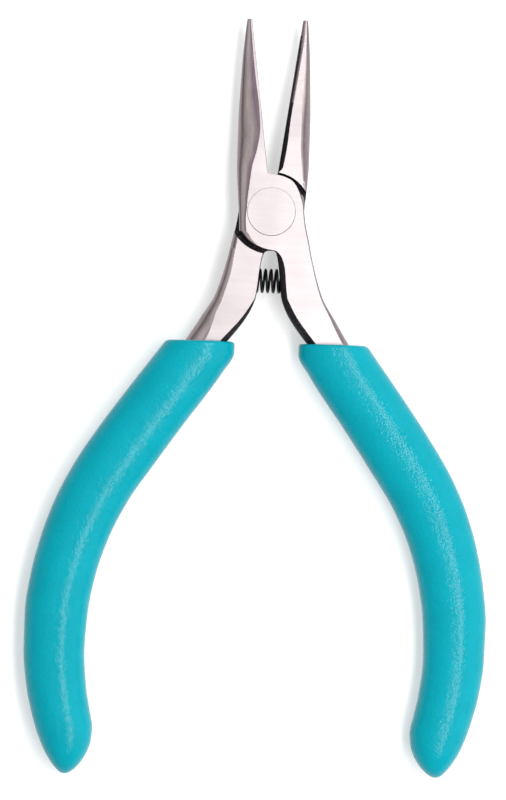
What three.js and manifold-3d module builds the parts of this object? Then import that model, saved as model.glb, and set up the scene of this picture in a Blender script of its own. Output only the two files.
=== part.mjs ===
// Miniature round nose pliers: a lap joint of two like forgings on a flush rivet,
// with a coil return spring between the shanks and a thick cushion grip on each handle.
//
// Millimetres. The tool lies flat: +Z is up through its thickness, the jaws point
// along +Y and the handles along -Y. The origin is on the pivot axis, at the rivet's
// lower face. The jaws stand open, at the relaxed length of the return spring.
import * as THREE from 'three';
import { mergeVertices } from 'three/addons/utils/BufferGeometryUtils.js';
import Module from 'manifold-3d';

const wasm = await Module();
wasm.setup();

// ---------------------------------------------------------------- driving dimensions
const HEAD_THICKNESS = 6;
const MIDDLE = HEAD_THICKNESS / 2;
const LAP_CLEARANCE = 0.1;

const JAW_TIP_Y = 30.9;
const JAW_TIP_WIDTH = 0.85;
const JAW_TIP_THICKNESS = 1.0;
const JAW_ROOT_Y = 8;
const JAW_HALF_ANGLE = THREE.MathUtils.degToRad(7.5);
const JAW_TIP_OUTER_X = JAW_TIP_Y * Math.tan(JAW_HALF_ANGLE) + JAW_TIP_WIDTH;

const HEAD_HALF_WIDTH = 5.4;
const DISC_UPPER_RADIUS = 5.95;
const DISC_LOWER_RADIUS = 5.98;
const JAW_SHOULDER_RADIUS = 6.35;
const SHANK_SHOULDER_RADIUS = 6.8;

const RIVET_HEAD_RADIUS = 3.85;
const RIVET_SHANK_RADIUS = 2.4;
const RIVET_HEAD_RIM = 0.4;
const RIVET_CLEARANCE = 0.05;

const SPRING_Y = -11;
const SPRING_WIRE_RADIUS = 0.22;
const SPRING_COIL_RADIUS = 1.78;
const SPRING_TURNS = 7.5;
const SPRING_LENGTH = 6.3;
const SPRING_SEAT_RADIUS = 2.25;
const SPRING_SEAT_X = 3.3;

const TANG_END_Y = -68;
const TANG_CLEARANCE = 0.2;
const GRIP_TOP_Y = -20.9;
const GRIP_END_Y = -90.3;
const GRIP_NOSE_Y = -71;
const GRIP_LIP_RADIUS = 0.9;

// A dimension that changes along the tool: pairs of Y and value, from the jaws down.
function along(...pairs) {
  return (y) => {
    if (y >= pairs[0][0]) return pairs[0][1];
    const after = pairs.findIndex(([at]) => at <= y);
    if (after < 0) return pairs[pairs.length - 1][1];
    const [highY, high] = pairs[after - 1];
    const [lowY, low] = pairs[after];
    return THREE.MathUtils.lerp(low, high, (y - lowY) / (highY - lowY));
  };
}

// ------------------------------------------------------------------- solids and cuts
function toSolid(geometry) {
  const plain = geometry.clone();
  plain.deleteAttribute('normal');
  plain.deleteAttribute('uv');
  const merged = mergeVertices(plain, 1e-5);
  return new wasm.Manifold(new wasm.Mesh({
    numProp: 3,
    vertProperties: new Float32Array(merged.attributes.position.array),
    triVerts: new Uint32Array(merged.index.array),
  }));
}

function toGeometry(solid) {
  const mesh = solid.getMesh();
  const geometry = new THREE.BufferGeometry();
  geometry.setAttribute('position', new THREE.BufferAttribute(new Float32Array(mesh.vertProperties), 3));
  geometry.setIndex(new THREE.BufferAttribute(new Uint32Array(mesh.triVerts), 1));
  geometry.computeVertexNormals();
  return geometry;
}

// One outline across the tool at a station: a box whose four corners are quarter
// ellipses, in the order front right, back right, back left, front left.
function sectionPoint(station, index, cornerSteps) {
  const corner = Math.floor(index / (cornerSteps + 1));
  const step = index % (cornerSteps + 1);
  const turn = (corner + step / cornerSteps) * (Math.PI / 2);
  const [width, depth] = station.corners[corner];
  const toRight = corner < 2;
  const toFront = corner === 0 || corner === 3;
  const cornerX = toRight ? station.right - width : station.left + width;
  const cornerZ = toFront ? station.high - depth : station.low + depth;
  return new THREE.Vector3(cornerX + width * Math.sin(turn), station.y, cornerZ + depth * Math.cos(turn));
}

// A closed skin through stations listed from the jaw end down.
function loft(stations, cornerSteps) {
  const around = 4 * (cornerSteps + 1);
  const geometry = new THREE.CylinderGeometry(1, 1, 1, around, stations.length - 1);
  const position = geometry.attributes.position;
  const vertex = new THREE.Vector3();
  for (let i = 0; i < position.count; i += 1) {
    vertex.fromBufferAttribute(position, i);
    const station = stations[Math.round((0.5 - vertex.y) * (stations.length - 1))];
    const turn = Math.atan2(vertex.x, vertex.z) / (2 * Math.PI);
    const index = Math.round((turn + 1) * around) % around;
    const onAxis = Math.hypot(vertex.x, vertex.z) < 0.5;
    const target = onAxis
      ? new THREE.Vector3((station.left + station.right) / 2, station.y, (station.low + station.high) / 2)
      : sectionPoint(station, index, cornerSteps);
    position.setXYZ(i, target.x, target.y, target.z);
  }
  return geometry;
}

// The other half is the same forging turned over about the tool's length.
function turnedOver(geometry) {
  const other = geometry.clone();
  const position = other.attributes.position;
  for (let i = 0; i < position.count; i += 1) {
    position.setXYZ(i, -position.getX(i), position.getY(i), HEAD_THICKNESS - position.getZ(i));
  }
  other.computeVertexNormals();
  return other;
}

function cylinderAlongZ(radius, low, high, sides) {
  const geometry = new THREE.CylinderGeometry(radius, radius, high - low, sides);
  geometry.rotateX(Math.PI / 2);
  geometry.translate(0, 0, (low + high) / 2);
  return geometry;
}

// ------------------------------------------------------------------------ the forging
// Its jaw is on the left and its handle on the right, and its disc is the upper layer.
const outerJawX = along([JAW_TIP_Y, -JAW_TIP_OUTER_X], [29, -5.1], [24.3, -5.44], [14, -5.8], [7.6, -5.8],
  [0, -HEAD_HALF_WIDTH]);
const headRightX = along([4.9, 3.3], [4, 4.1], [2.7, 4.8], [1.2, 5.1], [0, 5.25]);
const outerShankX = along([0, 5.25], [-2.3, 5.55], [-4.4, 6.1], [-7.8, 6.8], [-13.5, 8.6], [-17, 10.7],
  [-20.85, 13.1], [-24, 15.2], [-32, 20.1], [-40, 25.2], [-48, 30.0], [-57, 33.1], [TANG_END_Y, 33.4]);
const innerShankX = along([-DISC_LOWER_RADIUS, 0.95], [-6.5, 1.0], [-7.2, 1.2], [-9, 1.5], [-13.4, 2.0],
  [-15.7, 2.8], [-20.4, 6.0], [-24, 9.6], [-32, 15.3], [-40, 20.9], [-48, 26.2], [-57, 29.7],
  [TANG_END_Y, 30.4]);
const halfThickness = along([JAW_TIP_Y, JAW_TIP_THICKNESS / 2], [JAW_ROOT_Y, MIDDLE], [-8, MIDDLE],
  [-20.8, 2.5], [-26, 2.1], [TANG_END_Y, 1.5]);

const frontLeftWidth = along([JAW_TIP_Y, 0.4], [24, 2.0], [18, 3.0], [14, 3.5], [10, 3.2], [6.7, 2.4],
  [0, 1.2], [-4, 0.9], [-6, 0.2], [-7.5, 0.7], [-20, 1.3], [-26, 0.9]);
const frontRightWidth = along([JAW_TIP_Y, 0.2], [0, 0.2], [-9, 0.25], [-20, 0.9], [-26, 0.9]);
const backRightWidth = along([JAW_TIP_Y, 0.3], [14, 0.6], [8, 0.6], [0, 0.3], [-6, 0.9], [-20, 2.8],
  [-26, 2.0], [-30, 0.9]);
const backLeftWidth = along([JAW_TIP_Y, 0.3], [21, 1.2], [11, 1.4], [6, 0.5], [0, 0.2], [-6, 0.2],
  [-14, 0.2], [-20, 1.0], [-26, 0.9]);

const JAW_STATIONS = [JAW_TIP_Y, 30.4, 27, 23, 19, 15, 11, 8.6, 7, 5.95];
const SHANK_STATIONS = [-6.07, -6.6, -7.2, -9, -11.5, -13.5, -15.7, -18, -20.8];
const TANG_STATIONS = [-24, -32, -40, -48, -57, TANG_END_Y];
const DISC_STEPS = 14;

function leftEdge(y) {
  if (y >= 0) return outerJawX(y);
  if (y <= -DISC_LOWER_RADIUS) return innerShankX(y);
  return -Math.min(Math.sqrt(DISC_LOWER_RADIUS ** 2 - y ** 2), HEAD_HALF_WIDTH);
}

function rightEdge(y) {
  if (y <= 0) return outerShankX(y);
  if (y >= DISC_UPPER_RADIUS) return -y * Math.tan(JAW_HALF_ANGLE);
  const disc = Math.sqrt(DISC_UPPER_RADIUS ** 2 - y ** 2);
  return y > 4.9 ? disc : Math.min(disc, headRightX(y));
}

function forgingStation(y) {
  const left = leftEdge(y);
  const right = rightEdge(y);
  const half = halfThickness(y);
  const limit = (right - left) / 2 - 0.02;
  const corner = (width, deepest) => [Math.min(width, limit), Math.min(deepest, half - 0.02)];
  const frontLeft = frontLeftWidth(y);
  return {
    y,
    left,
    right,
    low: MIDDLE - half,
    high: MIDDLE + half,
    corners: [
      corner(frontRightWidth(y), frontRightWidth(y)),
      corner(backRightWidth(y), backRightWidth(y)),
      corner(backLeftWidth(y), backLeftWidth(y) * 1.4),
      corner(frontLeft, frontLeft * 0.7),
    ],
  };
}

function forgingBlank() {
  const discStations = Array.from({ length: DISC_STEPS + 1 }, (_, step) => {
    const height = Math.cos((0.03 + (0.94 * step) / DISC_STEPS) * Math.PI);
    return height * (height > 0 ? DISC_UPPER_RADIUS : DISC_LOWER_RADIUS);
  });
  const stations = [...JAW_STATIONS, ...discStations, ...SHANK_STATIONS, ...TANG_STATIONS];
  return loft(stations.map(forgingStation), 3);
}

// The rivet and its countersunk hole share one profile.
function rivetProfile(clearance, low, high) {
  const head = RIVET_HEAD_RADIUS + clearance;
  const shank = RIVET_SHANK_RADIUS + clearance;
  const taper = head - shank;
  return [
    new THREE.Vector2(0, low),
    new THREE.Vector2(head, low),
    new THREE.Vector2(head, RIVET_HEAD_RIM),
    new THREE.Vector2(shank, RIVET_HEAD_RIM + taper),
    new THREE.Vector2(shank, HEAD_THICKNESS - RIVET_HEAD_RIM - taper),
    new THREE.Vector2(head, HEAD_THICKNESS - RIVET_HEAD_RIM),
    new THREE.Vector2(head, high),
    new THREE.Vector2(0, high),
  ];
}

function turned(profile, sides) {
  const geometry = new THREE.LatheGeometry(profile, sides);
  geometry.rotateX(Math.PI / 2);
  return geometry;
}

function springSeat() {
  const geometry = new THREE.CylinderGeometry(SPRING_SEAT_RADIUS, SPRING_SEAT_RADIUS, SPRING_SEAT_X, 24);
  geometry.rotateZ(Math.PI / 2);
  geometry.translate(SPRING_SEAT_X / 2, SPRING_Y, MIDDLE);
  return geometry;
}

// Half the thickness is cut away round the pivot, where the other half's disc turns.
// Its wall is a little further out on the handle side, as the disc is there.
function lapRecess() {
  const floor = MIDDLE + LAP_CLEARANCE / 2;
  const jawSide = cylinderAlongZ(JAW_SHOULDER_RADIUS, -1, floor, 48);
  const handleSide = cylinderAlongZ(SHANK_SHOULDER_RADIUS, -1, floor, 48);
  const belowPivot = new THREE.BoxGeometry(20, 10, 20);
  belowPivot.translate(0, -5, 0);
  return toSolid(jawSide).add(toSolid(handleSide).intersect(toSolid(belowPivot)));
}

function forging() {
  const rivetHole = turned(rivetProfile(RIVET_CLEARANCE, -1, HEAD_THICKNESS + 1), 36);
  const solid = toSolid(forgingBlank())
    .subtract(lapRecess())
    .subtract(toSolid(rivetHole))
    .subtract(toSolid(springSeat()));
  return toGeometry(solid);
}

// ------------------------------------------------------------------- rivet and spring
class Helix extends THREE.Curve {
  constructor(radius, length, turns) {
    super();
    this.radius = radius;
    this.length = length;
    this.turns = turns;
  }

  getPoint(t, target = new THREE.Vector3()) {
    const turn = t * this.turns * 2 * Math.PI;
    const x = (t - 0.5) * this.length;
    return target.set(x, this.radius * Math.cos(turn), this.radius * Math.sin(turn));
  }
}

function returnSpring() {
  const wire = new THREE.Shape();
  wire.absarc(0, 0, SPRING_WIRE_RADIUS, 0, 2 * Math.PI, false);
  const path = new Helix(SPRING_COIL_RADIUS, SPRING_LENGTH - 2 * SPRING_WIRE_RADIUS, SPRING_TURNS);
  const steps = Math.round(SPRING_TURNS * 12);
  const geometry = new THREE.ExtrudeGeometry(wire, { steps, extrudePath: path, curveSegments: 3 });
  geometry.translate(0, SPRING_Y, MIDDLE);
  return geometry;
}

// --------------------------------------------------------------------------- the grip
const gripInnerX = along([GRIP_TOP_Y, 5.2], [-22.6, 5.1], [-26, 6.95], [-35, 13.25], [-41, 17.35],
  [-47, 21.25], [-53, 24.05], [-59, 25.85], [-65, 26.82], [-71, 27.1], [-77, 26.55], [-80, 26.0],
  [-83.1, 25.4], [-85.9, 25.75], [-87.5, 26.5], [-89, 27.5], [-89.9, 28.6], [GRIP_END_Y, 29.5]);
const gripOuterX = along([GRIP_TOP_Y, 16.1], [-23, 17.65], [-29, 22.05], [-35, 26.3], [-41, 30.1],
  [-47, 33.0], [-53, 35.0], [-59, 36.3], [-65, 36.97], [-71, 36.92], [-77, 36.25], [-80, 35.5],
  [-83.1, 34.6], [-85.9, 33.5], [-87.5, 32.6], [-89, 31.6], [-89.9, 30.7], [GRIP_END_Y, 29.9]);
const gripHalfThickness = along([GRIP_TOP_Y, 4.1], [-30, 4.4], [-60, 4.4], [-80, 4.3], [-83.1, 4.2],
  [-85.9, 3.9], [-87.5, 3.45], [-89, 2.6], [-89.9, 1.55], [GRIP_END_Y, 0.4]);

// The two grips are alike but not pushed on alike: the left one reaches further out
// and further down than the right one, by twice these amounts.
const gripSway = along([GRIP_TOP_Y, 0.06], [-40, 0.1], [-50, 0.2], [-60, 0.37], [-70, 0.48], [-80, 0.55],
  [GRIP_END_Y, 0.5]);
const GRIP_REACH = 0.62;

const GRIP_STATIONS = [GRIP_TOP_Y, -21.2, -22, -24, -27, -31, -35, -41, -47, -53, -59, -65, -71, -77, -80,
  -83.1, -85.9, -87.5, -89, -89.9, GRIP_END_Y];

function gripStation(y, further) {
  const lip = Math.max(0, 1 - (GRIP_TOP_Y - y) / GRIP_LIP_RADIUS);
  const drawIn = GRIP_LIP_RADIUS * (1 - Math.sqrt(1 - lip * lip)) * 0.5;
  const sway = further * gripSway(y);
  const left = gripInnerX(y) + sway + drawIn * 0.5;
  const right = gripOuterX(y) + sway - drawIn;
  const half = gripHalfThickness(y) - drawIn;
  const stretch = 1 - (further * GRIP_REACH) / (GRIP_END_Y - GRIP_NOSE_Y);
  const placed = y > GRIP_NOSE_Y ? y : GRIP_NOSE_Y + (y - GRIP_NOSE_Y) * stretch;
  const round = [((right - left) / 2) * 0.9, half * 0.9];
  return {
    y: placed,
    left,
    right,
    low: MIDDLE - half,
    high: MIDDLE + half,
    corners: [round, round, round, round],
  };
}

// The tang's socket is the forging's own outline, a little larger all round.
function socketStation(y) {
  const station = forgingStation(y);
  const round = [0.9, 0.9];
  return {
    y,
    left: station.left - TANG_CLEARANCE,
    right: station.right + TANG_CLEARANCE,
    low: station.low - TANG_CLEARANCE,
    high: station.high + TANG_CLEARANCE,
    corners: [round, round, round, round],
  };
}

function cushionGrip(further) {
  const aboveTop = { ...socketStation(GRIP_TOP_Y), y: GRIP_TOP_Y + 1 };
  const belowTang = { ...socketStation(TANG_END_Y), y: TANG_END_Y - 0.5 };
  const socket = [aboveTop, ...[GRIP_TOP_Y, ...TANG_STATIONS].map(socketStation), belowTang];
  const skin = loft(GRIP_STATIONS.map((y) => gripStation(y, further)), 4);
  return toGeometry(toSolid(skin).subtract(toSolid(loft(socket, 3))));
}

// ------------------------------------------------------------------------- the object
const steel = { color: 0xd9d2d2, roughness: 0.3, metalness: 1 };
const materials = {
  front: new THREE.MeshStandardMaterial(steel),
  rear: new THREE.MeshStandardMaterial({ ...steel, color: 0xcbc4c4 }),
  rivet: new THREE.MeshStandardMaterial({ ...steel, color: 0xe4dede }),
  spring: new THREE.MeshStandardMaterial({ color: 0x17181c, roughness: 0.4, metalness: 0.8 }),
  leftGrip: new THREE.MeshStandardMaterial({ color: 0x16b3ba, roughness: 0.45, metalness: 0 }),
  rightGrip: new THREE.MeshStandardMaterial({ color: 0x16b3ba, roughness: 0.45, metalness: 0 }),
};

function named(name, geometry, material) {
  const mesh = new THREE.Mesh(geometry, material);
  mesh.name = name;
  return mesh;
}

const half = forging();
const pliers = new THREE.Group();
pliers.add(
  named('front_half', half, materials.front),
  named('rear_half', turnedOver(half), materials.rear),
  named('pivot_rivet', turned(rivetProfile(0, 0, HEAD_THICKNESS), 36), materials.rivet),
  named('return_spring', returnSpring(), materials.spring),
  named('right_grip', cushionGrip(-1), materials.rightGrip),
  named('left_grip', turnedOver(cushionGrip(1)), materials.leftGrip),
);

export default pliers;
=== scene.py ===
"""Round nose pliers with cushion grips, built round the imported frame.

Sizes in the classes are millimetres in the tool's own frame: the pivot stands on the Z
axis, +Y runs to the jaw tips and +Z faces the viewer. A mesh becomes metres last.
"""

import logging
import math
from dataclasses import dataclass
from enum import Enum, IntEnum
from typing import Any, Iterable

import bmesh
import bpy
from mathutils import Matrix, Vector


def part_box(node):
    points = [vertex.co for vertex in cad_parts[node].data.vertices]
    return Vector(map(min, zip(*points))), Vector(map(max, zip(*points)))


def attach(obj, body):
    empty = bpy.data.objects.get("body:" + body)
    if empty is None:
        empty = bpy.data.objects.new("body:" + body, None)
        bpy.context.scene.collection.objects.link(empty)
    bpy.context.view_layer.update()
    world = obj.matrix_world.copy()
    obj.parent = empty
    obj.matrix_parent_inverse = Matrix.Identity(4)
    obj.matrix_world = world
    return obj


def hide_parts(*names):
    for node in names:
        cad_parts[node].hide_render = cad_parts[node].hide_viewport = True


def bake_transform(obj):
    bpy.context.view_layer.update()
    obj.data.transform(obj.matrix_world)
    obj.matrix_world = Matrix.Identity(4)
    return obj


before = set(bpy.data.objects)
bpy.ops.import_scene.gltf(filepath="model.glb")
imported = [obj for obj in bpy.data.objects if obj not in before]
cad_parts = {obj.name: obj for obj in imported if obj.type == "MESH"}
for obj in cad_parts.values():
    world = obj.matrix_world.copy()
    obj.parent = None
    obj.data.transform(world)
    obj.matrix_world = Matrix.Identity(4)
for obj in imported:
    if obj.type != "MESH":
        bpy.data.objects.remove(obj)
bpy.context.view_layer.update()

MM = 0.001
HEAD_THICKNESS = 6.0
MIDDLE = HEAD_THICKNESS / 2
HEAD_TOP_Y = 5.0
HEAD_BOTTOM_Y = -6.0
WELD = 1e-5
LOG = logging.getLogger("pliers")


class Side(Enum):
    """Which of the two crossing halves a piece belongs to."""

    FRONT = "front"
    REAR = "rear"


class Surface(IntEnum):
    """The finishes of a forging, in the order of its material slots."""

    GROUND = 0
    POLISHED_PAINTED_LIGHT = 1
    PAINTED_SHADE = 2


# ------------------------------------------------------------------------ shader maths
class Value:
    """A number from a shader node that can be used in sums."""

    def __init__(self, graph: "Graph", socket: bpy.types.NodeSocket) -> None:
        """Keeps the socket and the graph that new nodes go into."""
        self.graph = graph
        self.socket = socket

    def __add__(self, other: Any) -> "Value":
        """Adds a number or a value."""
        return self.graph.math("ADD", self, other)

    def __sub__(self, other: Any) -> "Value":
        """Takes a number or a value away."""
        return self.graph.math("SUBTRACT", self, other)

    def __rsub__(self, other: Any) -> "Value":
        """Takes this value away from a number."""
        return self.graph.math("SUBTRACT", other, self)

    def __mul__(self, other: Any) -> "Value":
        """Multiplies by a number or a value."""
        return self.graph.math("MULTIPLY", self, other)

    __radd__ = __add__
    __rmul__ = __mul__


class Graph:
    """The nodes of one material."""

    def __init__(self, name: str) -> None:
        """Starts an empty material of that name.

        Args:
            name: The material's name.
        """
        self.material = bpy.data.materials.new(name)
        self.material.use_nodes = True
        self.tree = self.material.node_tree
        self.tree.nodes.clear()

    def node(self, kind: str, settings: dict[str, Any], sockets: dict[Any, Any]) -> bpy.types.Node:
        """Adds a node of any type.

        Args:
            kind: The node's type, such as ShaderNodeMath.
            settings: Its properties, set first; "stops" fills a colour ramp.
            sockets: What goes into its inputs: numbers, tuples, values or sockets.

        Returns:
            The new node.
        """
        node = self.tree.nodes.new(kind)
        for key, setting in settings.items():
            if key == "stops":
                for element, (position, colour) in zip(self._stops(node, len(setting)), setting):
                    element.position = position
                    element.color = (*colour, 1.0)
            else:
                setattr(node, key, setting)
        for key, given in sockets.items():
            source = given.socket if isinstance(given, Value) else given
            if isinstance(source, bpy.types.NodeSocket):
                self.tree.links.new(source, node.inputs[key])
            else:
                node.inputs[key].default_value = source
        return node

    @staticmethod
    def _stops(node: bpy.types.Node, count: int) -> Iterable[Any]:
        """Gives a ramp that many stops and returns them.

        Args:
            node: The colour ramp node.
            count: How many stops it must have.

        Returns:
            The ramp's stops.
        """
        while len(node.color_ramp.elements) < count:
            node.color_ramp.elements.new(0.5)
        return node.color_ramp.elements

    def math(self, operation: str, first: Any, second: Any) -> Value:
        """Combines two numbers with a Math node."""
        node = self.node("ShaderNodeMath", {"operation": operation}, {0: first, 1: second})
        return Value(self, node.outputs[0])

    def position(self, per_mm: tuple[float, float, float], turn: float = 0.0) -> bpy.types.NodeSocket:
        """Gives the place on the piece as pattern coordinates.

        Args:
            per_mm: How many units of the pattern go into a millimetre along X, Y and Z.
            turn: A turn of the pattern about Z, in degrees.

        Returns:
            The coordinates' socket.
        """
        place = self.node("ShaderNodeTexCoord", {}, {})
        turned = self.node(
            "ShaderNodeMapping",
            {},
            {"Vector": place.outputs["Object"], "Rotation": (0.0, 0.0, math.radians(turn))},
        )
        scaled = self.node(
            "ShaderNodeMapping",
            {},
            {"Vector": turned.outputs[0], "Scale": tuple(size / MM for size in per_mm)},
        )
        return scaled.outputs[0]

    def noise(self, place: bpy.types.NodeSocket, detail: float = 2.0, rough: float = 0.5) -> Value:
        """Gives a noise between 0 and 1 over pattern coordinates."""
        sockets = {"Vector": place, "Scale": 1.0, "Detail": detail, "Roughness": rough}
        return Value(self, self.node("ShaderNodeTexNoise", {}, sockets).outputs["Fac"])

    def upward(self) -> Value:
        """Gives how far the surface faces one of the tool's two flat sides, from 0 to 1.

        Returns:
            The size of the surface normal along Z.
        """
        shape = self.node("ShaderNodeNewGeometry", {}, {})
        parts = self.node("ShaderNodeSeparateXYZ", {}, {0: shape.outputs["Normal"]})
        return self.math("ABSOLUTE", Value(self, parts.outputs["Z"]), 0.0)

    def step(self, value: Value, low: float, high: float) -> Value:
        """Rises smoothly from 0 to 1 as the value goes from low to high.

        Args:
            value: The number to judge.
            low: Where the rise starts.
            high: Where it ends.

        Returns:
            The risen value.
        """
        node = self.node(
            "ShaderNodeMapRange",
            {"interpolation_type": "SMOOTHSTEP"},
            {"Value": value, "From Min": low, "From Max": high},
        )
        return Value(self, node.outputs[0])

    def blend(self, factor: Value, first: Any, second: Any) -> bpy.types.NodeSocket:
        """Mixes two colours, each a tuple or a socket.

        Args:
            factor: How much of the second colour there is.
            first: The colour at 0.
            second: The colour at 1.

        Returns:
            The mixed colour.
        """
        first, second = (
            (*colour, 1.0) if isinstance(colour, tuple) else colour for colour in (first, second)
        )
        node = self.node("ShaderNodeMix", {"data_type": "RGBA"}, {0: factor, 6: first, 7: second})
        return node.outputs[2]

    def bump(self, height: Value, depth: float, strength: float = 1.0) -> bpy.types.NodeSocket:
        """Turns a height from 0 to 1 into a normal, for a relief that many millimetres deep."""
        sockets = {"Height": height, "Distance": depth * MM, "Strength": strength}
        return self.node("ShaderNodeBump", {}, sockets).outputs[0]

    def finish(self, sockets: dict[str, Any]) -> bpy.types.Material:
        """Closes the material with one principled shader.

        Args:
            sockets: What goes into the shader's inputs.

        Returns:
            The material.
        """
        shader = self.node("ShaderNodeBsdfPrincipled", {}, sockets)
        self.node("ShaderNodeOutputMaterial", {}, {"Surface": shader.outputs[0]})
        return self.material


# ---------------------------------------------------------------------------- finishes
Colour = tuple[float, float, float]
Place = tuple[float, float, float]


@dataclass(frozen=True)
class GroundSteel:
    """Bright steel, ground flat with a fine grit straight across the tool."""

    name: str = "ground_steel"
    bright: Colour = (0.538, 0.490, 0.495)
    dull: Colour = (0.498, 0.448, 0.455)
    turn: float = 0.0
    roughness: float = 0.33

    def material(self) -> bpy.types.Material:
        """Builds the material.

        Returns:
            The material.
        """
        graph = Graph(self.name)
        scratches = graph.noise(graph.position((0.16, 7.0, 1.0), self.turn), 4.0, 0.6)
        strokes = graph.noise(graph.position((0.05, 1.1, 0.3), self.turn + 1.5), 3.0, 0.55)
        smudges = graph.noise(graph.position((0.22, 0.22, 0.22)), 3.0)
        tone = graph.step(scratches * 0.45 + strokes * 0.35 + smudges * 0.2, 0.36, 0.62)
        return graph.finish(
            {
                "Base Color": graph.blend(tone, self.dull, self.bright),
                "Metallic": 1.0,
                "Roughness": scratches * 0.08 + smudges * 0.08 + (self.roughness - 0.08),
                "Normal": graph.bump(scratches, 0.004, 0.3),
            }
        )


@dataclass(frozen=True)
class PolishedSteelPaintedLight:
    """Greyer steel of the rounded sides, belt polished along the tool.

    Its colour follows how far a face turns from the flats: a lilac painted reflection on the crown beside
    a flat, a light painted reflection in the middle and painted shade on the steep side.
    """

    name: str = "polished_steel_painted_light"
    # crown, middle and side are painted reflections and painted shade, chosen by how far a face turns from
    # the flats.
    crown: Colour = (0.50, 0.37, 0.45)
    middle: Colour = (0.93, 0.79, 0.79)
    side: Colour = (0.27, 0.225, 0.232)
    shade: float = 0.78
    roughness: float = 0.27

    def material(self) -> bpy.types.Material:
        """Builds the material.

        Returns:
            The material.
        """
        graph = Graph(self.name)
        lines = graph.noise(graph.position((4.5, 0.12, 4.5)), 3.0, 0.55)
        bands = graph.noise(graph.position((1.1, 0.05, 1.1)), 2.0)
        patches = graph.noise(graph.position((0.3, 0.18, 0.3)), 3.0)
        tone = graph.step(lines * 0.3 + bands * 0.45 + patches * 0.25, 0.36, 0.64)
        # The ramp paints light by facing: painted shade on steep sides, a light painted reflection in the
        # middle, a lilac painted reflection on the crown.
        stops = [(0.0, self.side), (0.78, self.side), (0.9, self.middle), (0.93, self.middle)]
        ramp = graph.node(
            "ShaderNodeValToRGB", {"stops": [*stops, (0.957, self.crown)]}, {0: graph.upward()}
        )
        rubbed = graph.node(
            "ShaderNodeMix",
            {"data_type": "RGBA", "blend_type": "MULTIPLY"},
            {0: 1.0, 6: ramp.outputs[0], 7: (self.shade,) * 3 + (1.0,)},
        )
        return graph.finish(
            {
                "Base Color": graph.blend(tone, rubbed.outputs[2], ramp.outputs[0]),
                "Metallic": 1.0,
                "Roughness": lines * 0.12 + patches * 0.1 + (self.roughness - 0.11),
                "Normal": graph.bump(lines, 0.004, 0.6),
            }
        )


@dataclass(frozen=True)
class PaintedShadeSteel:
    """Near-black painted shade on the inner walls and in the lap joint, with lighter random patches."""

    name: str = "painted_shade_steel"
    # Both colours are painted shade, near black, the lighter one in random patches.
    scale: Colour = (0.012, 0.010, 0.014)
    rubbed: Colour = (0.045, 0.040, 0.050)

    def material(self) -> bpy.types.Material:
        """Builds the material.

        Returns:
            The material.
        """
        graph = Graph(self.name)
        grain = graph.noise(graph.position((2.6, 2.6, 2.6)), 4.0, 0.6)
        pits = graph.noise(graph.position((9.0, 9.0, 9.0)), 2.0)
        worn = graph.step(grain, 0.5, 0.72)
        return graph.finish(
            {
                "Base Color": graph.blend(worn, self.scale, self.rubbed),
                "Metallic": 0.55,
                "Roughness": 0.62 - worn * 0.18 + pits * 0.08,
                "Normal": graph.bump(grain * 0.5 + pits * 0.5, 0.012, 0.7),
            }
        )


@dataclass(frozen=True)
class SpringWire:
    """Oiled black spring wire with faint drawing marks."""

    name: str = "black_spring_wire"
    deep: Colour = (0.008, 0.008, 0.010)
    worn: Colour = (0.05, 0.048, 0.052)

    def material(self) -> bpy.types.Material:
        """Builds the material.

        Returns:
            The material.
        """
        graph = Graph(self.name)
        marks = graph.noise(graph.position((7.0, 1.6, 1.6)), 3.0, 0.6)
        return graph.finish(
            {
                "Base Color": graph.blend(graph.step(marks, 0.52, 0.75), self.deep, self.worn),
                "Metallic": 0.7,
                "Roughness": marks * 0.2 + 0.24,
                "Normal": graph.bump(marks, 0.006, 0.5),
            }
        )


@dataclass(frozen=True)
class CushionVinyl:
    """Dipped teal vinyl with a satin skin and the slight waviness of the dip."""

    name: str = "teal_vinyl"
    colour: Colour = (0.0, 0.328, 0.405)
    deep: Colour = (0.0, 0.308, 0.38)
    roughness: float = 0.11

    def material(self) -> bpy.types.Material:
        """Builds the material.

        Returns:
            The material.
        """
        graph = Graph(self.name)
        waves = graph.noise(graph.position((0.22, 0.3, 0.22), 20.0), 2.0)
        skin = graph.noise(graph.position((1.7, 1.7, 1.7)), 3.0, 0.6)
        pores = graph.noise(graph.position((3.0, 3.0, 3.0)), 2.0)
        tone = graph.step(waves * 0.6 + skin * 0.4, 0.38, 0.62)
        return graph.finish(
            {
                "Base Color": graph.blend(tone, self.deep, self.colour),
                "Roughness": skin * 0.06 + pores * 0.04 + (self.roughness - 0.05),
                "Specular IOR Level": 0.14,
                "Normal": graph.bump(waves * 0.5 + skin * 0.36 + pores * 0.16, 0.22),
            }
        )


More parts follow.
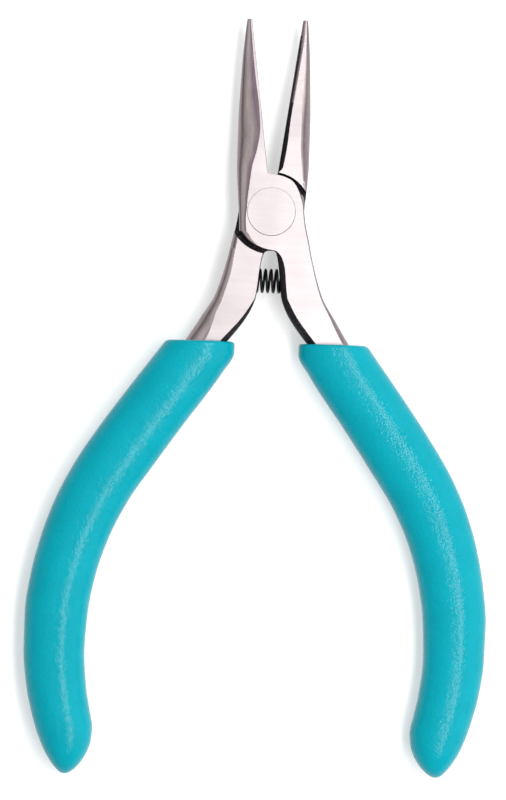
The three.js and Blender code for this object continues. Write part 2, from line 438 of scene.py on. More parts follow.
# ------------------------------------------------------------------------ mesh helpers
@dataclass(frozen=True)
class Profile:
    """A size that changes smoothly along the tool.

    Attributes:
        points: Pairs of a place along Y and the size there, from the jaw tips down.
    """

    points: tuple[tuple[float, float], ...]

    @property
    def top(self) -> float:
        """The first point's place along Y."""
        return self.points[0][0]

    @property
    def bottom(self) -> float:
        """The last point's place along Y."""
        return self.points[-1][0]

    def at(self, y: float) -> float:
        """Gives the size at a place along Y.

        Args:
            y: The place along Y.

        Returns:
            The size in millimetres.
        """
        points = self.points
        if y >= self.top:
            return points[0][1]
        if y <= self.bottom:
            return points[-1][1]
        index = next(i for i in range(len(points) - 1) if points[i + 1][0] <= y)
        (top, start), (bottom, end) = points[index], points[index + 1]
        length = top - bottom
        t = (top - y) / length
        leave, arrive = self._slope(index) * length, self._slope(index + 1) * length
        return (
            (2 * t**3 - 3 * t**2 + 1) * start
            + (t**3 - 2 * t**2 + t) * leave
            + (3 * t**2 - 2 * t**3) * end
            + (t**3 - t**2) * arrive
        )

    def _slope(self, index: int) -> float:
        """Gives a point's slope, flat where the size turns back, so it never overshoots.

        Args:
            index: The point's number.

        Returns:
            How much the size grows for each millimetre down the tool.
        """
        rises = [
            (self.points[i + 1][1] - self.points[i][1]) / (self.points[i][0] - self.points[i + 1][0])
            for i in (index - 1, index)
            if 0 <= i < len(self.points) - 1
        ]
        if len(rises) == 1:
            return rises[0]
        if rises[0] * rises[1] <= 0:
            return 0.0
        return 2 * rises[0] * rises[1] / (rises[0] + rises[1])


@dataclass(frozen=True)
class Bevel:
    """The rounding of one long edge of a forging.

    Attributes:
        width: How wide it is from above.
        slopes: How many times deeper than wide it is on the jaw, the head and the shank.
    """

    width: Profile
    slopes: tuple[float, float, float]

    def slope(self, y: float) -> float:
        """Gives how many times deeper than wide the edge is at a place along Y.

        Args:
            y: The place along Y.

        Returns:
            The ratio of depth to width.
        """
        jaw, head, shank = self.slopes
        if y > HEAD_TOP_Y:
            return jaw
        return head if y > HEAD_BOTTOM_Y else shank


@dataclass(frozen=True)
class Section:
    """One cross-section of a lofted piece: a box whose four corners are arcs.

    Attributes:
        y: Where it stands along the tool.
        left: Lowest x.
        right: Highest x.
        low: Lowest z.
        high: Highest z.
        corners: Width and depth of the front right, back right, back left and front left arc.
        start: How steeply an arc leaves the flat face, in degrees, for a crisp edge.
    """

    y: float
    left: float
    right: float
    low: float
    high: float
    corners: tuple[tuple[float, float], ...]
    start: float

    def point(self, index: int, steps: int) -> Vector:
        """Gives one point of the outline.

        Args:
            index: The point's number, round from the front right corner.
            steps: How many steps each corner's arc has.

        Returns:
            The point in millimetres.
        """
        corner, step = divmod(index, steps + 1)
        width, depth = self.corners[corner]
        share = step / steps if corner in (0, 2) else 1 - step / steps
        first = math.radians(self.start)
        angle = first + share * (math.pi / 2 - first)
        out = width * (math.sin(angle) - math.sin(first)) / (1 - math.sin(first)) - width
        down = depth * (math.cos(first) - math.cos(angle)) / math.cos(first)
        x = self.right + out if corner in (0, 1) else self.left - out
        z = self.high - down if corner in (0, 3) else self.low + down
        return Vector((x, self.y, z))


def close(bm: bmesh.types.BMesh) -> None:
    """Fills every hole that the mesh still has."""
    rims = [edge for edge in bm.edges if len(edge.link_faces) == 1]
    bmesh.ops.holes_fill(bm, edges=rims, sides=0)


def loft(sections: list[Section], steps: int) -> bmesh.types.BMesh:
    """Rolls a grid into a closed tube that passes through the sections.

    Args:
        sections: The cross-sections, from the jaw tips down.
        steps: How many steps each corner's arc has.

    Returns:
        The closed mesh, in millimetres.
    """
    around = 4 * (steps + 1)
    rows = len(sections) - 1
    bm = bmesh.new()
    bmesh.ops.create_grid(bm, x_segments=around, y_segments=rows, size=1.0)
    for vert in bm.verts:
        column = round((vert.co.x + 1) / 2 * around) % around
        row = round((1 - vert.co.y) / 2 * rows)
        vert.co = sections[row].point(column, steps)
    bmesh.ops.remove_doubles(bm, verts=bm.verts[:], dist=WELD)
    close(bm)
    bmesh.ops.recalc_face_normals(bm, faces=bm.faces[:])
    return bm


def turned(profile: Iterable[tuple[float, float]], steps: int) -> bmesh.types.BMesh:
    """Spins a profile of (radius, z) points about the Z axis into a closed mesh.

    Args:
        profile: The points, from one end of the axis to the other.
        steps: How many steps a turn has.

    Returns:
        The closed mesh, in millimetres.
    """
    bm = bmesh.new()
    verts = [bm.verts.new((radius, 0.0, z)) for radius, z in profile]
    edges = [bm.edges.new(pair) for pair in zip(verts, verts[1:])]
    bmesh.ops.spin(
        bm,
        geom=verts + edges,
        cent=(0, 0, 0),
        axis=(0, 0, 1),
        dvec=(0, 0, 0),
        angle=2 * math.pi,
        steps=steps,
        use_merge=True,
        use_duplicate=False,
    )
    bmesh.ops.remove_doubles(bm, verts=bm.verts[:], dist=WELD)
    bmesh.ops.recalc_face_normals(bm, faces=bm.faces[:])
    return bm


def cylinder(radius: float, low: float, high: float, place: Matrix, sides: int = 128) -> bmesh.types.BMesh:
    """Makes a cylinder along Z from low to high, then moves it to its place.

    Args:
        radius: The radius.
        low: The lowest z before the move.
        high: The highest z before the move.
        place: Where it goes.
        sides: How many sides it has.

    Returns:
        The closed mesh, in millimetres.
    """
    bm = bmesh.new()
    matrix = place @ Matrix.Translation((0, 0, (low + high) / 2))
    bmesh.ops.create_cone(
        bm,
        cap_ends=True,
        segments=sides,
        radius1=radius,
        radius2=radius,
        depth=high - low,
        matrix=matrix,
    )
    return bm


def to_object(name: str, bm: bmesh.types.BMesh) -> bpy.types.Object:
    """Moves a mesh in millimetres into a new object in the scene.

    Args:
        name: The object's name.
        bm: The mesh, which is freed.

    Returns:
        The new object.
    """
    mesh = bpy.data.meshes.new(name)
    bm.to_mesh(mesh)
    bm.free()
    piece = bpy.data.objects.new(name, mesh)
    bpy.context.scene.collection.objects.link(piece)
    return piece


def carve(piece: bpy.types.Object, cutter: bmesh.types.BMesh) -> None:
    """Takes the cutter's room out of the piece for good.

    Args:
        piece: The object that is cut.
        cutter: The room to take out, in millimetres.
    """
    tool = to_object("cutter", cutter)
    modifier = piece.modifiers.new("carve", "BOOLEAN")
    modifier.operation = "DIFFERENCE"
    modifier.solver = "EXACT"
    modifier.object = tool
    cut = piece.evaluated_get(bpy.context.evaluated_depsgraph_get())
    mesh = bpy.data.meshes.new_from_object(cut)
    piece.modifiers.clear()
    whole, piece.data = piece.data, mesh
    bpy.data.meshes.remove(whole)
    scrap = tool.data
    bpy.data.objects.remove(tool)
    bpy.data.meshes.remove(scrap)


def settle(piece: bpy.types.Object, side: Side, crease: float) -> None:
    """Turns the piece over if it is the rear one, makes it metres and shades it.

    Args:
        piece: The object, its mesh in millimetres.
        side: The half that it belongs to.
        crease: The angle from which an edge stays crisp, in degrees.
    """
    if side is Side.REAR:
        middle = Matrix.Translation((0, 0, MIDDLE))
        piece.data.transform(middle @ Matrix.Rotation(math.pi, 4, "Y") @ middle.inverted())
    piece.data.transform(Matrix.Scale(MM, 4))
    piece.data.shade_smooth()
    piece.data.set_sharp_from_angle(angle=math.radians(crease))


def spaced(start: float, end: float, pitch: float) -> list[float]:
    """Gives even places from start towards end, the end itself left out."""
    count = max(1, math.ceil(abs(end - start) / pitch))
    return [start + (end - start) * i / count for i in range(count)]


# ------------------------------------------------------------------------ the forgings
@dataclass(frozen=True)
class Forging:
    """One steel half: round nose jaw, lapped head disc, shank and the tang in the grip.

    The sizes are those of the front half, whose jaw is on the left and handle on the
    right. The rear half is the same forging turned over about the tool's length.

    Attributes:
        side: Which half it is.
        tip_round: The radius that breaks the edge of the jaw tip.
        jaw_root_y: Where the jaw curves into the disc.
        fillet_end_y: Where the fillet below the disc ends.
        tang_top_y: Where the shank becomes the tang, inside the grip.
        disc_upper: The radius of the head disc on the jaws' side of the pivot.
        disc_lower: Its radius on the handles' side.
        jaw_shoulder: The radius of the lap joint's wall under the other half's jaw.
        shank_shoulder: The radius of that wall under the other half's shank.
        lap_clearance: The gap between the two halves' lapped faces.
        seat_radius: The radius of the spring's blind hole, which ends at seat_x.
        arc_start: How steeply a bevel leaves the flat, in degrees.
        crease: The angle from which an edge stays crisp, in degrees.
        least_flat: The least that two bevels leave between them.
        head_end_x: Where the disc meets the fillet of the crotch between the handles.
        ground_depth: How near the flats a face is ground.
        ground_normal: How straight up or down a ground face points.
        jaw_wall_y: The jaw's inner wall gets painted shade above this.
        shank_wall_y: The shank's inner wall gets painted shade below this.
        unshaded_tip_y: Above this the tips get the polished steel instead of the painted shade.
        unshaded_edge_y: Above this the edges of the jaw's inner wall get the polished steel instead of the
            painted shade.
        edge_normal: How far up or down a face of those edges points.
        crotch: The right edge between the jaw and the disc.
        disc_right: The right edge beside the pivot.
    """

    side: Side
    tip_y: float = 30.9
    tip_round: float = 0.12
    jaw_root_y: float = 7.2
    fillet_end_y: float = -6.5
    tang_top_y: float = -24.0
    tang_end_y: float = -68.0
    jaw_half_angle: float = 7.5
    disc_upper: float = 5.95
    disc_lower: float = 5.98
    jaw_shoulder: float = 6.35
    shank_shoulder: float = 6.8
    lap_clearance: float = 0.1
    seat_y: float = -11.0
    seat_radius: float = 2.25
    seat_x: float = 3.3
    arc_steps: int = 14
    arc_start: float = 34.0
    crease: float = 10.0
    least_flat: float = 0.03
    head_end_x: float = -0.75
    ground_depth: float = 0.06
    ground_normal: float = 0.975
    jaw_wall_y: float = 5.5
    shank_wall_y: float = -5.9
    unshaded_tip_y: float = 28.4
    unshaded_edge_y: float = 17.5
    edge_normal: float = 0.74
    outer_jaw: Profile = Profile(
        ((30.9, 4.86), (29, 5.06), (24.3, 5.42), (19.5, 5.62), (14, 5.79), (7.6, 5.77), (2.25, 5.41),
         (0, 5.22), (-2.84, 5.07), (-6.1, 5.0))
    )
    crotch: Profile = Profile(
        ((6.6, -0.869), (6.3, -0.822), (6.1, -0.72), (6.03, -0.45), (5.99, -0.05), (5.945, 0.24),
         (5.925, 0.55))
    )
    disc_right: Profile = Profile(
        ((5.1, 3.1), (4.6, 3.66), (3.9, 4.22), (3.1, 4.72), (2.3, 5.08), (1.6, 5.24), (0.8, 5.27),
         (0, 5.25))
    )
    outer_shank: Profile = Profile(
        ((0, 5.25), (-2.3, 5.6), (-4.4, 6.1), (-7.8, 6.85), (-13.5, 8.6), (-17, 10.7), (-20.85, 13.1),
         (-24, 15.2), (-32, 20.1), (-40, 25.2), (-48, 30.0), (-57, 33.1), (-68, 33.4))
    )
    inner_shank: Profile = Profile(
        ((-6.04, -0.3), (-6.1, 0.3), (-6.2, 0.62), (-6.35, 0.84), (-6.5, 0.96), (-6.8, 1.07), (-7.2, 1.2),
         (-9, 1.5), (-13.4, 2.0), (-15.7, 2.8), (-20.4, 6.0), (-24, 9.6), (-32, 15.3), (-40, 20.9),
         (-48, 26.2), (-57, 29.7), (-68, 30.4))
    )
    half_thickness: Profile = Profile(
        ((30.9, 0.5), (19, 1.8), (8, 3), (-8, 3), (-20.8, 2.5), (-26, 2.1), (-68, 1.5))
    )
    front_left: Bevel = Bevel(
        Profile(
            ((30.9, 0.55), (26.6, 1.4), (21.1, 2.4), (16.5, 3.25), (13.2, 3.57), (10.1, 3.2), (7.3, 2.5),
             (5.1, 2.1), (2.5, 1.6), (0.9, 1.38), (-1.6, 1.08), (-3.6, 1.15), (-4.6, 0.9), (-5.6, 0.4),
             (-6.05, 0.12), (-6.4, 0.3), (-7.5, 0.75), (-9.4, 0.96), (-13.7, 0.95), (-15, 1.13),
             (-20.6, 1.4), (-26, 0.9), (-68, 0.6))
        ),
        (0.72, 0.72, 1.0),
    )
    front_right: Bevel = Bevel(
        Profile(
            ((30.9, 0.12), (16, 0.08), (7, 0.07), (6.1, 0.05), (5.2, 0.05), (4.7, 0.1), (3.6, 0.3),
             (2.4, 0.48), (1.6, 0.42), (0, 0.2), (-2, 0.22), (-9, 0.22), (-14, 0.36), (-20.7, 1.0),
             (-26, 0.9), (-68, 0.6))
        ),
        (1.6, 1.6, 1.6),
    )
    back_right: Bevel = Bevel(
        Profile(
            ((30.9, 0.46), (27, 0.74), (21, 0.72), (15.8, 0.64), (10.2, 0.8), (7.1, 0.68), (6.1, 0.1),
             (5, 0.1), (0, 0.3), (-2.5, 0.5), (-4.3, 0.85), (-6.9, 0.97), (-10, 1.25), (-12.9, 1.35),
             (-16, 1.9), (-20.8, 3.1), (-24, 2.5), (-30, 1.0), (-68, 0.6))
        ),
        (1.4, 1.4, 1.1),
    )
    back_left: Bevel = Bevel(
        Profile(
            ((30.9, 0.24), (25, 0.7), (21.3, 1.2), (17.7, 1.45), (11.2, 1.45), (6.7, 1.05), (4.7, 0.7),
             (3.7, 0.4), (2.5, 0.14), (0, 0.1), (-6.05, 0.1), (-13.8, 0.12), (-14.9, 0.35),
             (-17.7, 0.75), (-20.6, 1.1), (-26, 0.9), (-68, 0.6))
        ),
        (1.7, 1.2, 1.2),
    )

    def left_edge(self, y: float) -> float:
        """Gives the outline's lowest x.

        Args:
            y: The place along Y.

        Returns:
            The x in millimetres.
        """
        shank = self.inner_shank
        if y <= shank.top:
            return shank.at(y)
        if y <= HEAD_BOTTOM_Y:
            share = (HEAD_BOTTOM_Y - y) / (HEAD_BOTTOM_Y - shank.top)
            return self.head_end_x + (shank.at(y) - self.head_end_x) * share
        disc = math.sqrt(self.disc_lower**2 - y**2) if y < 0 else math.inf
        return -min(disc, self.outer_jaw.at(y))

    def right_edge(self, y: float) -> float:
        """Gives the outline's highest x.

        Args:
            y: The place along Y.

        Returns:
            The x in millimetres.
        """
        if y <= 0:
            return self.outer_shank.at(y)
        if y >= self.crotch.top:
            return -y * math.tan(math.radians(self.jaw_half_angle))
        if y >= self.crotch.bottom:
            return self.crotch.at(y)
        disc = math.sqrt(self.disc_upper**2 - y**2)
        return disc if y > self.disc_right.top else min(disc, self.disc_right.at(y))

    def section(self, y: float) -> Section:
        """Gives the forging's cross-section at a place along Y.

        Args:
            y: The place along Y.

        Returns:
            The cross-section there.
        """
        left, right = self.left_edge(y), self.right_edge(y)
        half = self.half_thickness.at(y)
        below_tip = min(1.0, (self.tip_y - y) / self.tip_round)
        inset = self.tip_round * (1 - math.sqrt(1 - (1 - below_tip) ** 2))
        room = right - left - 2 * inset

        def arc(bevel: Bevel, opposite: Bevel) -> tuple[float, float]:
            """Gives a corner's width and depth, which leave room for the one beside it.

            Args:
                bevel: The corner's bevel.
                opposite: The bevel that shares its flat.

            Returns:
                The width and the depth.
            """
            width, beside = bevel.width.at(y), opposite.width.at(y)
            width = min(width, (room - self.least_flat) * width / (width + beside))
            return width, min(width * bevel.slope(y), half - inset - self.least_flat)

        return Section(
            y,
            left + inset,
            right - inset,
            MIDDLE - half + inset,
            MIDDLE + half - inset,
            (
                arc(self.front_right, self.front_left),
                arc(self.back_right, self.back_left),
                arc(self.back_left, self.back_right),
                arc(self.front_left, self.front_right),
            ),
            self.arc_start,
        )

    def places(self) -> list[float]:
        """Gives the places along Y of all the sections, closer where the outline turns.

        Returns:
            The places, from the jaw tip down.
        """
        tip = [self.tip_y - self.tip_round * share for share in (0.0, 0.07, 0.25, 0.55)]
        jaw = spaced(self.tip_y - self.tip_round, self.jaw_root_y, 0.4)
        crotch = spaced(self.jaw_root_y, 5.93, 0.06)
        upper = [self.disc_upper * math.cos(math.radians(5.3 + 1.9 * i)) for i in range(45)]
        lower = [-self.disc_lower * math.sin(math.radians(1.9 * i)) for i in range(44)]
        fillet = [-6.03, *spaced(self.inner_shank.top, self.fillet_end_y, 0.04)]
        shank = spaced(self.fillet_end_y, self.tang_top_y, 0.25)
        tang = spaced(self.tang_top_y, self.tang_end_y, 1.5)
        return tip + jaw + crotch + upper + lower + fillet + shank + tang + [self.tang_end_y]

    def recess(self) -> list[bmesh.types.BMesh]:
        """Gives the cutters of the lap joint: a round room, wider on the handle side.

        Returns:
            The cutters, in millimetres.
        """
        floor = MIDDLE + self.lap_clearance / 2
        here = Matrix.Identity(4)
        wide = cylinder(self.shank_shoulder, -1, floor, here)
        bmesh.ops.bisect_plane(
            wide,
            geom=wide.verts[:] + wide.edges[:] + wide.faces[:],
            plane_co=(0, 0, 0),
            plane_no=(0, 1, 0),
            clear_outer=True,
        )
        close(wide)
        return [cylinder(self.jaw_shoulder, -1, floor, here), wide]

    def build(self, rivet: "FlushRivet") -> bpy.types.Object:
        """Makes the forging's mesh.

        Args:
            rivet: The rivet whose countersunk hole goes through the head.

        Returns:
            The finished object, not dressed yet.
        """
        blank = loft([self.section(y) for y in self.places()], self.arc_steps)
        piece = to_object(f"{self.side.value}_half_forging", blank)
        across = Matrix.Translation((0, self.seat_y, MIDDLE)) @ Matrix.Rotation(math.pi / 2, 4, "Y")
        seat = cylinder(self.seat_radius, 0, self.seat_x, across, 64)
        for cutter in (*self.recess(), rivet.hole(), seat):
            carve(piece, cutter)
        self.mark(piece)
        settle(piece, self.side, self.crease)
        return piece

    def mark(self, piece: bpy.types.Object) -> None:
        """Gives every face its material: ground flats, polished sides with painted reflections and shade,
        and near-black painted shade on the inner walls and in the lap joint.

        Args:
            piece: The forging, before it is turned over.
        """
        bm = bmesh.new()
        bm.from_mesh(piece.data)
        bmesh.ops.remove_doubles(bm, verts=bm.verts[:], dist=WELD)
        for face in bm.faces:
            face.material_index = self.surface(face)
        bm.to_mesh(piece.data)
        bm.free()

    def surface(self, face: bmesh.types.BMFace) -> Surface:
        """Tells which finish a face of the front half has.

        Args:
            face: The face, in millimetres.

        Returns:
            Its finish.
        """
        centre, normal = face.calc_center_median(), face.normal
        half = self.half_thickness.at(centre.y)
        near_face = abs(abs(centre.z - MIDDLE) - half) < self.ground_depth
        if near_face and abs(normal.z) > self.ground_normal:
            return Surface.GROUND
        # Faces inside the lap joint get near-black painted shade.
        if math.hypot(centre.x, centre.y) < self.shank_shoulder + 0.02 and centre.z < MIDDLE + 0.1:
            inside = centre.x * normal.x + centre.y * normal.y < -0.5 or normal.z < -0.9
            if inside:
                return Surface.PAINTED_SHADE
        # Inner walls of the jaw and shank get near-black painted shade, except faces turned up on the jaw,
        # which get the ground steel.
        inward = normal.x if centre.y > 0 else -normal.x
        on_jaw = centre.y > self.jaw_wall_y
        if inward > 0.08 and (on_jaw or centre.y < self.shank_wall_y):
            if on_jaw and normal.z > 0.3:
                return Surface.GROUND
            # Near the tips and on the inner wall's edges the painted shade gives way to the polished
            # steel.
            on_edge = centre.y > self.unshaded_edge_y and abs(normal.z) > self.edge_normal
            rubbed = centre.y > self.unshaded_tip_y or on_edge
            return Surface.POLISHED_PAINTED_LIGHT if rubbed else Surface.PAINTED_SHADE
        return Surface.POLISHED_PAINTED_LIGHT

    def dress(self, piece: bpy.types.Object, finishes: list[bpy.types.Material]) -> None:
        """Puts the three finishes on and joins the piece to its body.

        Args:
            piece: The forging's object.
            finishes: The ground steel, the polished steel with its painted reflections and shade, and the
                painted-shade steel.
        """
        for finish in finishes:
            piece.data.materials.append(finish)
        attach(piece, self.side.value)
        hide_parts(f"{self.side.value}_half")


@dataclass(frozen=True)
class FlushRivet:
    """The countersunk pivot rivet, ground flush with both faces of the head.

    Attributes:
        rim: How deep the head goes straight down before it tapers.
        edge: The small bevel round both heads.
        gap: The gap between the rivet and its hole.
        sink: How far the heads lie below the faces.
        off_centre: How far the rivet has worn towards the jaws, which widens its ring below.
    """

    head_radius: float = 3.83
    shank_radius: float = 2.38
    rim: float = 0.4
    edge: float = 0.03
    gap: float = 0.035
    sink: float = 0.008
    off_centre: float = 0.027
    steps: int = 128

    def outline(self, grow: float, low: float, high: float, edge: float) -> list[tuple[float, float]]:
        """Gives the (radius, z) points of the rivet or of its hole.

        Args:
            grow: How much larger than the rivet it is all round.
            low: The lowest z.
            high: The highest z.
            edge: The small bevel round both heads.

        Returns:
            The points from the bottom of the axis to its top.
        """
        head, shank = self.head_radius + grow, self.shank_radius + grow
        taper = head - shank
        return [
            (0.0, low),
            (head - edge, low),
            (head, low + edge),
            (head, self.rim),
            (shank, self.rim + taper),
            (shank, HEAD_THICKNESS - self.rim - taper),
            (head, HEAD_THICKNESS - self.rim),
            (head, high - edge),
            (head - edge, high),
            (0.0, high),
        ]

    def hole(self) -> bmesh.types.BMesh:
        """Makes the cutter of the countersunk hole."""
        points = self.outline(self.gap, -1.0, HEAD_THICKNESS + 1.0, 0.0)
        return turned([p for i, p in enumerate(points) if i not in (2, 7)], self.steps)

    def build(self) -> bpy.types.Object:
        """Makes the rivet's mesh.

        Returns:
            The finished object, not dressed yet.
        """
        points = self.outline(0.0, self.sink, HEAD_THICKNESS - self.sink, self.edge)
        body = turned(points, self.steps)
        bmesh.ops.translate(body, vec=(0, self.off_centre, 0), verts=body.verts[:])
        piece = to_object("flush_rivet", body)
        settle(piece, Side.FRONT, 30.0)
        return piece

    def dress(self, piece: bpy.types.Object, finish: bpy.types.Material) -> None:
        """Puts the finish on and joins the rivet to the front half.

        Args:
            piece: The rivet's object.
            finish: Its material.
        """
        piece.data.materials.append(finish)
        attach(piece, Side.FRONT.value)
        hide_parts("pivot_rivet")


@dataclass(frozen=True)
class ReturnSpring:
    """The compression spring between the shanks that opens the tool.

    Attributes:
        y: Where its axis crosses the tool.
        length: Its whole length at rest, from seat to seat.
        closed_turns: How many turns are closed at each end.
        closed_pitch: How far a closed turn goes.
        pitch: How far an open turn goes.
    """

    y: float = -11.0
    wire_radius: float = 0.215
    coil_radius: float = 1.78
    length: float = 6.3
    closed_turns: float = 0.75
    closed_pitch: float = 0.44
    pitch: float = 0.88
    wire_sides: int = 14
    steps_per_turn: int = 40

    def build(self) -> bpy.types.Object:
        """Winds the wire: a closed turn, the open coils and a closed turn.

        Returns:
            The finished object, not dressed yet.
        """
        travel = self.length - 2 * self.wire_radius
        closed = self.closed_turns * self.closed_pitch
        open_turns = (travel - 2 * closed) / self.pitch
        bm = bmesh.new()
        start = Matrix.Translation((-travel / 2, self.y + self.coil_radius, MIDDLE))
        wire = bmesh.ops.create_circle(
            bm, segments=self.wire_sides, radius=self.wire_radius, matrix=start
        )["verts"]
        front = wire + [edge for edge in bm.edges if edge.verts[0] in wire]
        for turns, rise in (
            (self.closed_turns, self.closed_pitch),
            (open_turns, self.pitch),
            (self.closed_turns, self.closed_pitch),
        ):
            steps = round(turns * self.steps_per_turn)
            front = bmesh.ops.spin(
                bm,
                geom=front,
                cent=(0, self.y, MIDDLE),
                axis=(1, 0, 0),
                dvec=(turns * rise / steps, 0, 0),
                angle=2 * math.pi * turns,
                steps=steps,
                use_merge=False,
                use_duplicate=False,
            )["geom_last"]
        close(bm)
        bmesh.ops.recalc_face_normals(bm, faces=bm.faces[:])
        piece = to_object("return_spring_coil", bm)
        settle(piece, Side.FRONT, 40.0)
        return piece

    def dress(self, piece: bpy.types.Object, finish: bpy.types.Material) -> None:
        """Puts the finish on, bakes the spring's place into its mesh and hides the imported spring.

        Args:
            piece: The spring's object.
            finish: Its material.
        """
        piece.data.materials.append(finish)
        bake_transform(piece)
        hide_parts("return_spring")


# --------------------------------------------------------------------------- the grips
@dataclass(frozen=True)
class CushionGrip:
    """A thick dipped vinyl grip, cut straight at the top and closed at the end.

    The sizes are those of the front half's grip, on the right.

    Attributes:
        nose_y: Below this the two grips differ in length.
        reach: How much further down than the other each grip can end.
        lip_round: The radius that breaks the edge of the top.
        fullness: How much of the section's width and thickness its arcs take.
        socket_gap: The gap between the socket and the tang.
        socket_spare: How much deeper than the tang the socket is.
        inner: The outline's left edge.
        outer: The outline's right edge.
        sway: How far each grip lies off the outline, to its own side.
    """

    side: Side
    top_y: float = -20.9
    end_y: float = -90.3
    nose_y: float = -71.0
    reach: float = 0.62
    nose_length: float = 7.0
    nose_steps: int = 40
    lip_round: float = 0.45
    arc_steps: int = 15
    fullness: float = 0.92
    socket_gap: float = 0.08
    socket_spare: float = 0.4
    socket_arc_start: float = 20.0
    socket_arc_steps: int = 6
    crease: float = 35.0
    inner: Profile = Profile(
        ((-20.6, 5.2), (-21.6, 5.1), (-22.6, 5.1), (-26, 6.95), (-35, 13.25), (-41, 17.35), (-47, 21.25),
         (-53, 24.05), (-59, 25.85), (-65, 26.82), (-71, 27.1), (-77, 26.55), (-80, 25.97), (-83.1, 25.4),
         (-85, 25.55), (-86.7, 26.09), (-88.3, 27.0), (-88.95, 27.53), (-89.43, 27.99), (-89.9, 28.59),
         (-90.15, 29.02), (-90.26, 29.35), (-90.3, 29.64))
    )
    outer: Profile = Profile(
        ((-20.6, 15.9), (-23, 17.65), (-29, 22.05), (-35, 26.27), (-41, 30.07), (-47, 32.97), (-53, 34.97),
         (-59, 36.28), (-65, 36.95), (-71, 36.9), (-77, 36.2), (-80, 35.5), (-83.1, 34.6), (-85, 33.88),
         (-86.7, 33.1), (-88.3, 32.12), (-88.95, 31.62), (-89.43, 31.2), (-89.9, 30.72), (-90.15, 30.35),
         (-90.26, 30.04), (-90.3, 29.76))
    )
    half_thickness: Profile = Profile(
        ((-20.6, 4.1), (-30, 4.4), (-60, 4.4), (-80, 4.3), (-83.1, 4.2), (-85, 4.03), (-86.7, 3.7),
         (-88.3, 3.05), (-88.95, 2.64), (-89.43, 2.2), (-89.9, 1.55), (-90.15, 1.0), (-90.26, 0.52),
         (-90.3, 0.08))
    )
    sway: Profile = Profile(
        ((-20.6, 0.06), (-40, 0.1), (-50, 0.2), (-60, 0.37), (-70, 0.48), (-80, 0.55), (-90.3, 0.5))
    )

    @property
    def further(self) -> int:
        """Tells whether this grip reaches further out and down than its fellow."""
        return -1 if self.side is Side.FRONT else 1

    def section(self, y: float) -> Section:
        """Gives the grip's cross-section at a place along Y.

        Args:
            y: The place along Y.

        Returns:
            The cross-section there.
        """
        lip = max(0.0, 1 - (self.top_y - y) / self.lip_round)
        inset = self.lip_round * (1 - math.sqrt(1 - lip * lip))
        sway = self.further * self.sway.at(y)
        left, right = self.inner.at(y) + sway + inset, self.outer.at(y) + sway - inset
        half = self.half_thickness.at(y) - inset
        stretch = 1 + self.further * self.reach / (self.nose_y - self.end_y)
        placed = y if y > self.nose_y else self.nose_y + (y - self.nose_y) * stretch
        arc = ((right - left) / 2 * self.fullness, half * self.fullness)
        return Section(placed, left, right, MIDDLE - half, MIDDLE + half, (arc,) * 4, 0.0)

    def places(self) -> list[float]:
        """Gives the places along Y of all the sections, closer at the lip and the end.

        Returns:
            The places, from the top down.
        """
        lip = [self.top_y - self.lip_round * (1 - math.cos(math.radians(18 * i))) for i in range(5)]
        steps = self.nose_steps
        nose = [self.end_y + self.nose_length * (i / steps) ** 2 for i in range(steps, -1, -1)]
        return lip + spaced(self.top_y - self.lip_round, nose[0], 0.45) + nose

    def build(self, forging: Forging) -> bpy.types.Object:
        """Makes the grip's mesh.

        Args:
            forging: The half whose tang fills the grip's socket.

        Returns:
            The finished object, not dressed yet.
        """
        handed = "right" if self.side is Side.FRONT else "left"
        skin = loft([self.section(y) for y in self.places()], self.arc_steps)
        piece = to_object(f"{handed}_cushion_grip", skin)
        carve(piece, self.socket(forging))
        settle(piece, self.side, self.crease)
        return piece

    def socket(self, forging: Forging) -> bmesh.types.BMesh:
        """Makes the cutter of the socket, the tang's own outline a little larger.

        Args:
            forging: The half whose tang goes in.

        Returns:
            The cutter, in millimetres.
        """
        inside = spaced(self.top_y, forging.tang_end_y, 1.0)
        depths = [self.top_y + 1.0, *inside, forging.tang_end_y - self.socket_spare]
        gap = self.socket_gap
        sections = []
        for y in depths:
            tang = forging.section(max(y, forging.tang_end_y))
            left, right = tang.left - gap, tang.right + gap
            low, high = tang.low - gap, tang.high + gap
            corners = tuple((width + gap, depth + gap) for width, depth in tang.corners)
            sections.append(Section(y, left, right, low, high, corners, self.socket_arc_start))
        return loft(sections, self.socket_arc_steps)

    def dress(self, piece: bpy.types.Object, finish: bpy.types.Material) -> None:
        """Puts the finish on and joins the grip to its half.

        Args:
            piece: The grip's object.
            finish: Its material.
        """
        piece.data.materials.append(finish)
        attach(piece, self.side.value)
        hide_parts("right_grip" if self.side is Side.FRONT else "left_grip")


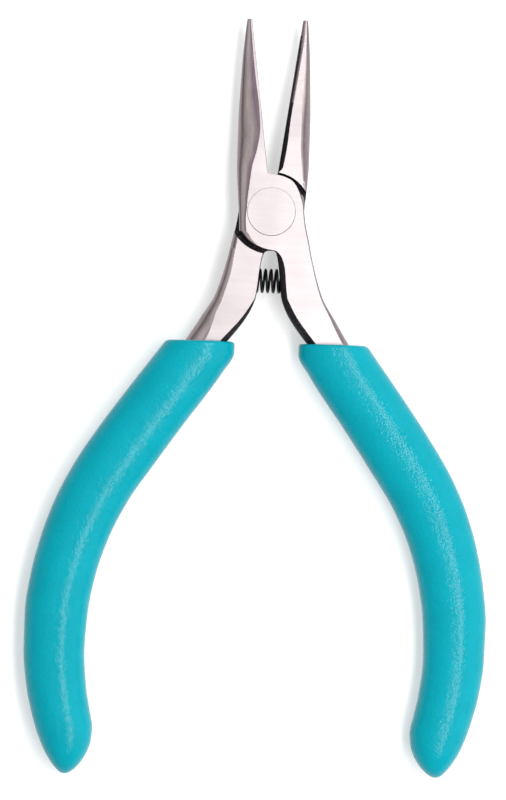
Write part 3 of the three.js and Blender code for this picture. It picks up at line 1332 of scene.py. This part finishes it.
# --------------------------------------------------------------------------- the studio
@dataclass(frozen=True)
class Studio:
    """White table, soft lights and a camera straight above the tool.

    Attributes:
        centre: The point of the tool in the middle of the view, in millimetres.
        lean: How far the camera is turned about the vertical, in degrees.
        view_height: The height of what the camera takes in, in millimetres.
        distance: How far above the centre the camera hangs, in millimetres.
        table_size: The table's side, in metres.
        table_glow: How strongly the table shines of itself.
        ambient: How bright the room is.
    """

    centre: Place = (-1.95, -30.14, 4.0)
    lean: float = 1.9
    view_height: float = 128.0
    distance: float = 700.0
    table_size: float = 4.0
    table_glow: float = 0.46
    ambient: float = 0.42

    def table(self, height: float) -> None:
        """Lays a white table under the tool.

        Args:
            height: The table's height, in metres.
        """
        bm = bmesh.new()
        bmesh.ops.create_grid(bm, x_segments=4, y_segments=4, size=self.table_size / 2)
        bmesh.ops.translate(bm, verts=bm.verts[:], vec=(0, 0, height))
        mesh = bpy.data.meshes.new("table")
        bm.to_mesh(mesh)
        bm.free()
        table = bpy.data.objects.new("table", mesh)
        bpy.context.scene.collection.objects.link(table)
        graph = Graph("white_table")
        mottle = graph.noise(graph.position((0.02, 0.02, 0.02)), 2.0)
        table.data.materials.append(
            graph.finish(
                {
                    "Base Color": graph.blend(mottle, (0.60, 0.60, 0.60), (0.62, 0.62, 0.62)),
                    "Roughness": 0.8,
                    "Emission Color": (1.0, 1.0, 1.0, 1.0),
                    "Emission Strength": self.table_glow,
                }
            )
        )

    def lamp(self, name: str, place: Place, size: tuple[float, float], watts: float) -> None:
        """Hangs a soft rectangular lamp that faces the tool.

        Args:
            name: The lamp's name.
            place: Where it hangs, in metres from the middle of the view.
            size: Its width across the tool and its length along the tool, in metres.
            watts: Its power.
        """
        light = bpy.data.lights.new(name, "AREA")
        light.shape = "RECTANGLE"
        light.size, light.size_y = size
        light.energy = watts
        lamp = bpy.data.objects.new(name, light)
        bpy.context.scene.collection.objects.link(lamp)
        back = Vector(place).normalized()
        across = Vector((0.0, 1.0, 0.0)).cross(back).normalized()
        turn = Matrix((across, back.cross(across), back)).transposed()
        lamp.location = Vector(self.centre) * MM + Vector(place)
        lamp.rotation_euler = turn.to_euler()
        lamp.visible_camera = False

    def light(self) -> None:
        """Lights the tool from an even room, overhead, and by two lamps hung to its right."""
        world = bpy.data.worlds.new("studio_room")
        bpy.context.scene.world = world
        world.use_nodes = True
        background = world.node_tree.nodes["Background"]
        background.inputs["Color"].default_value = (1.0, 1.0, 1.0, 1.0)
        background.inputs["Strength"].default_value = self.ambient
        self.lamp("overhead_lamp", (-0.04, 0.12, 0.55), (0.46, 0.9), 0.36)
        self.lamp("long_lamp", (0.166, 0.0, 0.52), (0.125, 0.70), 3.05)
        self.lamp("side_lamp", (0.60, 0.05, 0.34), (0.60, 1.0), 1.6)

    def camera(self) -> None:
        """Sets the camera straight above, turned by the lean."""
        data = bpy.data.cameras.new("camera")
        data.angle = 2 * math.atan(self.view_height / 2 / self.distance)
        data.clip_start = 0.01
        camera = bpy.data.objects.new("camera", data)
        bpy.context.scene.collection.objects.link(camera)
        camera.location = Vector(self.centre) * MM + Vector((0, 0, self.distance * MM))
        camera.rotation_euler = (0, 0, math.radians(self.lean))
        bpy.context.scene.camera = camera
        bpy.context.scene.view_settings.view_transform = "Standard"


def report(piece: bpy.types.Object) -> None:
    """Logs a piece's name and how many triangles it has."""
    triangles = sum(len(face.vertices) - 2 for face in piece.data.polygons)
    LOG.info("%s: %d triangles", piece.name, triangles)


def main() -> None:
    """Builds the pieces in order, dresses them, and sets the table, lights and camera."""
    logging.basicConfig(level=logging.INFO, format="%(name)s: %(message)s")
    steel = [GroundSteel().material(), PolishedSteelPaintedLight().material(), PaintedShadeSteel().material()]
    vinyl = CushionVinyl().material()
    rivet = FlushRivet()
    for side in Side:
        forging = Forging(side)
        half = forging.build(rivet)
        forging.dress(half, steel)
        report(half)
        grip = CushionGrip(side)
        cushion = grip.build(forging)
        grip.dress(cushion, vinyl)
        report(cushion)
    pin = rivet.build()
    rivet.dress(pin, GroundSteel("ground_rivet_steel", turn=4.0).material())
    report(pin)
    spring = ReturnSpring()
    coil = spring.build()
    spring.dress(coil, SpringWire().material())
    report(coil)
    studio = Studio()
    studio.table(min(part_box(name)[0].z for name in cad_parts))
    studio.light()
    studio.camera()


if __name__ == "__main__":
    main()
